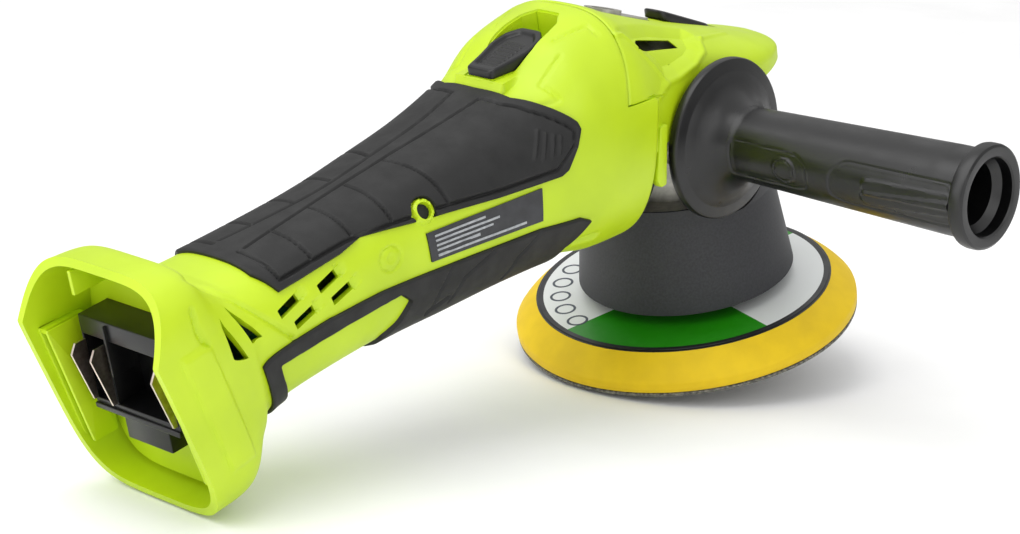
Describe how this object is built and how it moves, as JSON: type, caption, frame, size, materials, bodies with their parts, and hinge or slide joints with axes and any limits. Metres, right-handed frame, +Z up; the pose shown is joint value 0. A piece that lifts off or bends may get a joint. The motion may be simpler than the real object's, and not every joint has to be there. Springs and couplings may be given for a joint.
{
  "type": "orbital sander",
  "caption": "Cordless orbital sander: tubular body with battery foot, bevel gear head, removable side handle and a round hook-and-loop foam pad on an eccentric spindle.",
  "frame": {"origin": "where the spindle axis meets the underside of the pad", "axes": "+X forward from the battery foot to the gear head, +Y to the tool's left, +Z up along the spindle"},
  "size_m": [0.32, 0.2055, 0.1385],
  "materials": {
    "lime_abs": "moulded lime plastic, satin",
    "soft_rubber": "overmoulded black rubber",
    "black_nylon": "moulded black plastic",
    "skirt_plastic": "fine textured dark plastic",
    "cast_aluminium": "die cast, bead blasted",
    "bright_steel": "ground steel",
    "dark_steel": "hardened gear steel",
    "zinc_plate": "bright zinc plate",
    "copper_wire": "enamelled copper",
    "contact_nickel": "nickel plated copper",
    "carbon": "pressed carbon",
    "board_green": "solder mask",
    "red_lead": "PVC insulation",
    "black_lead": "PVC insulation",
    "yellow_foam": "moulded polyurethane foam",
    "hook_nylon": "hook tape",
    "printed_label": "printed film",
    "plate_film": "dark printed film"
  },
  "bodies": {
    "housing": {"housing_left": "lime_abs", "housing_right": "lime_abs", "grip_rubber_left": "soft_rubber", "grip_rubber_right": "soft_rubber", "band_rubber_left": "soft_rubber", "band_rubber_right": "soft_rubber", "head_cover": "lime_abs", "gear_case": "cast_aluminium", "bearing_plate": "cast_aluminium", "bearing_retainer": "bright_steel", "skirt": "skirt_plastic", "thread_insert": "cast_aluminium", "terminal_block": "black_nylon", "terminal_blades": "contact_nickel", "motor_can": "zinc_plate", "motor_magnets": "dark_steel", "motor_end_cap": "black_nylon", "carbon_brushes": "carbon", "motor_rear_bearing": "bright_steel", "motor_front_bearing": "bright_steel", "spindle_upper_bearing": "bright_steel", "spindle_lower_bearing": "bright_steel", "circuit_board": "board_green", "switch_module": "black_nylon", "battery_leads": "red_lead", "motor_leads": "black_lead", "rating_plate": "plate_film", "housing_screws": "zinc_plate", "case_screws": "zinc_plate", "skirt_screws": "zinc_plate", "lock_spring": "bright_steel"},
    "rotor": {"rotor_shaft": "bright_steel", "armature_core": "dark_steel", "armature_windings": "copper_wire", "commutator": "copper_wire", "cooling_fan": "black_nylon", "drive_pinion": "dark_steel"},
    "spindle_group": {"spindle": "bright_steel", "bevel_wheel": "dark_steel", "counterweight": "dark_steel", "pad_bearing": "bright_steel"},
    "pad": {"pad_hub": "bright_steel", "pad_stud": "bright_steel", "hub_circlip": "dark_steel", "backing_plate": "black_nylon", "foam_pad": "yellow_foam", "hook_face": "hook_nylon", "pad_label": "printed_label"},
    "switch": {"switch_slider": "black_nylon", "switch_rod": "bright_steel"},
    "lock": {"lock_button": "black_nylon", "lock_pin": "bright_steel"},
    "side_handle": {"handle_core": "black_nylon", "handle_sleeve": "black_nylon", "handle_stud": "zinc_plate"}
  },
  "joints": [
    {"name": "spindle_spin", "type": "hinge", "parent": "housing", "child": "spindle_group", "pos_m": [0, 0, 0.06], "axis": [0, 0, 1], "continuous": true},
    {"name": "rotor_spin", "type": "hinge", "parent": "housing", "child": "rotor", "pos_m": [-0.08, 0, 0.094], "axis": [1, 0, 0], "continuous": true},
    {"name": "pad_spin", "type": "hinge", "parent": "spindle_group", "child": "pad", "pos_m": [-0.0025, 0, 0.03], "axis": [0, 0, 1], "continuous": true},
    {"name": "switch_slide", "type": "slide", "parent": "housing", "child": "switch", "axis": [1, 0, 0], "range_m": [0, 0.008]},
    {"name": "lock_press", "type": "slide", "parent": "housing", "child": "lock", "axis": [0, 0, -1], "range_m": [0, 0.0035], "stiffness_N_per_m": 1500, "springref_m": -0.001, "deforming": ["lock_spring"]},
    {"name": "handle_out", "type": "slide", "parent": "housing", "child": "side_handle", "axis": [0, -1, 0], "range_m": [0, 0.022]}
  ],
  "couplings": [
    {"joint": "rotor_spin", "follows": "spindle_spin", "ratio": -3.2}
  ]
}
